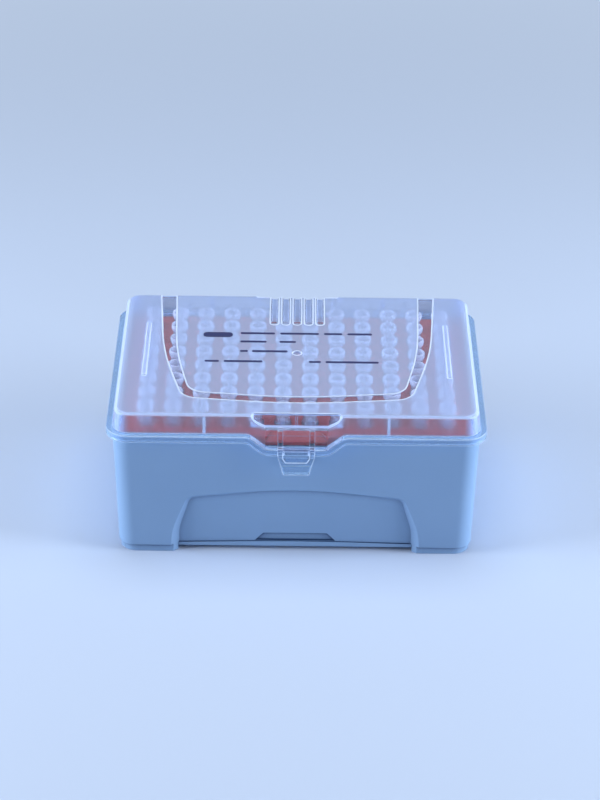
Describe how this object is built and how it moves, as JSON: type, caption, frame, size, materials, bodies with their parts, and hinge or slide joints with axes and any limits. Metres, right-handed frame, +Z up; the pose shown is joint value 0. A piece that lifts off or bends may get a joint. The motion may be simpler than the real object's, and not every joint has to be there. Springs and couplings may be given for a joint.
{
  "type": "box of pipette tips",
  "caption": "Hinged clear-lidded plastic rack box that holds a full grid of small filter pipette tips, with a front latch tab.",
  "frame": {"origin": "on the ground under the middle of the tip grid, which is also the middle of the box", "axes": "+Z up, the latch faces -Y and the hinges are at +Y, the long side runs along X"},
  "size_m": [0.1246, 0.0932, 0.0544],
  "materials": {
    "tub_polypropylene": "satin",
    "rack_polypropylene": "satin",
    "clear_polypropylene": "clear, part frosted",
    "tip_polypropylene": "translucent",
    "filter_polyethylene": "porous"
  },
  "bodies": {
    "base": {"base_tub": "tub_polypropylene", "rack_plate": "rack_polypropylene", "tips_column_01": "tip_polypropylene", "tips_column_02": "tip_polypropylene", "tips_column_03": "tip_polypropylene", "tips_column_04": "tip_polypropylene", "tips_column_05": "tip_polypropylene", "tips_column_06": "tip_polypropylene", "tips_column_07": "tip_polypropylene", "tips_column_08": "tip_polypropylene", "tips_column_09": "tip_polypropylene", "tips_column_10": "tip_polypropylene", "tips_column_11": "tip_polypropylene", "tips_column_12": "tip_polypropylene", "filters_column_01": "filter_polyethylene", "filters_column_02": "filter_polyethylene", "filters_column_03": "filter_polyethylene", "filters_column_04": "filter_polyethylene", "filters_column_05": "filter_polyethylene", "filters_column_06": "filter_polyethylene", "filters_column_07": "filter_polyethylene", "filters_column_08": "filter_polyethylene", "filters_column_09": "filter_polyethylene", "filters_column_10": "filter_polyethylene", "filters_column_11": "filter_polyethylene", "filters_column_12": "filter_polyethylene"},
    "lid": {"lid": "clear_polypropylene"}
  },
  "joints": [
    {"name": "lid_hinge", "type": "hinge", "parent": "base", "child": "lid", "pos_m": [0, 0.0443, 0.044], "axis": [-1, 0, 0], "range_deg": [0, 105]}
  ]
}
